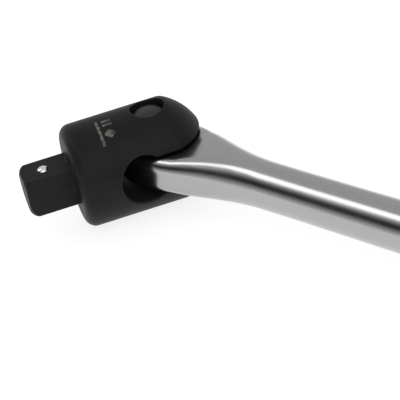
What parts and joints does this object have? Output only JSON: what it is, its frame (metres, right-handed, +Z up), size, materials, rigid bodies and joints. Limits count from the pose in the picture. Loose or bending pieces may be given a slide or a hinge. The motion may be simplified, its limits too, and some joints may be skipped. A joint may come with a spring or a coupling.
{
  "type": "breaker bar",
  "caption": "Hinged-head breaker bar: a black yoke head with a male square drive and spring ball turns on a cross pin in the flat tang of a round chrome handle.",
  "frame": {"origin": "centre of the bottom of the overall box, on the plane the tool lies on", "axes": "+X from the hinge along the handle to its end, +Z up along the hinge pin, +Y completes a right-handed frame; the head is stored bent 58 degrees so that the drive points to -X and -Y"},
  "size_m": [0.3656, 0.0558, 0.0336],
  "materials": {
    "black_phosphate_steel": "satin black phosphate on forged steel",
    "polished_chrome": "polished chrome plate on steel",
    "hardened_steel": "ground, lightly oiled",
    "washer_steel": "blued spring steel",
    "ball_steel": "polished bearing steel",
    "spring_steel": "drawn wire"
  },
  "bodies": {
    "handle": {"handle_bar": "polished_chrome"},
    "head": {"drive_head": "black_phosphate_steel", "hinge_pin": "hardened_steel", "upper_thrust_washer": "washer_steel", "lower_thrust_washer": "washer_steel", "drive_ball_spring": "spring_steel", "tension_spring": "spring_steel"},
    "drive_detent": {"drive_ball": "ball_steel"},
    "tension_detent": {"tension_ball": "ball_steel"}
  },
  "joints": [
    {"name": "head_flex", "type": "hinge", "parent": "handle", "child": "head", "pos_m": [-0.15415, 0.01272, 0.0168], "axis": [0, 0, 1], "range_deg": [-153, 37]},
    {"name": "drive_ball_press", "type": "slide", "parent": "head", "child": "drive_detent", "axis": [0, 0, -1], "range_m": [0, 0.0008], "stiffness_N_per_m": 3000, "springref_m": -0.002, "deforming": ["drive_ball_spring"]},
    {"name": "tension_ball_press", "type": "slide", "parent": "head", "child": "tension_detent", "axis": [-0.5299, -0.848, 0], "range_m": [0, 0.0005], "stiffness_N_per_m": 5000, "springref_m": -0.004, "deforming": ["tension_spring"]}
  ]
}
